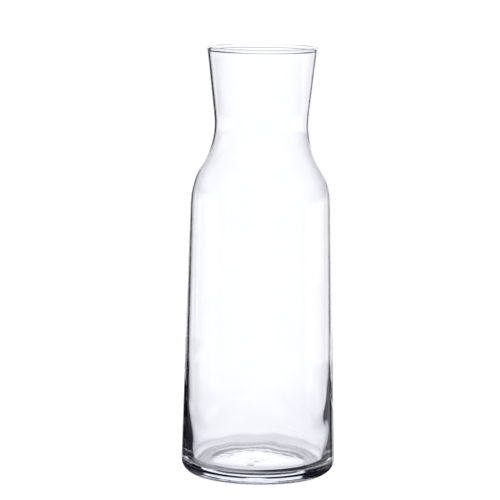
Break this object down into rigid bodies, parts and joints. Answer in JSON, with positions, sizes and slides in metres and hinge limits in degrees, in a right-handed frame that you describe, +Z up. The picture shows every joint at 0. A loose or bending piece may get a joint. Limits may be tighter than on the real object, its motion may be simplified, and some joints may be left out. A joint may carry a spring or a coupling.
{
  "type": "wine carafe",
  "caption": "One-piece clear glass carafe with a tall, slightly flared body, soft shoulder, waisted neck and wide flared mouth, for serving wine or water.",
  "frame": {"origin": "centre of the foot on the plane that the carafe stands on", "axes": "+Z up along the axis of the carafe, out of its mouth; the body is round, so X and Y are free"},
  "size_m": [0.0942, 0.0942, 0.26],
  "materials": {
    "glass": "clear, fire-polished, with a faint cool tint in the heavy base"
  },
  "bodies": {
    "root": {"glass_body": "glass"}
  },
  "joints": []
}
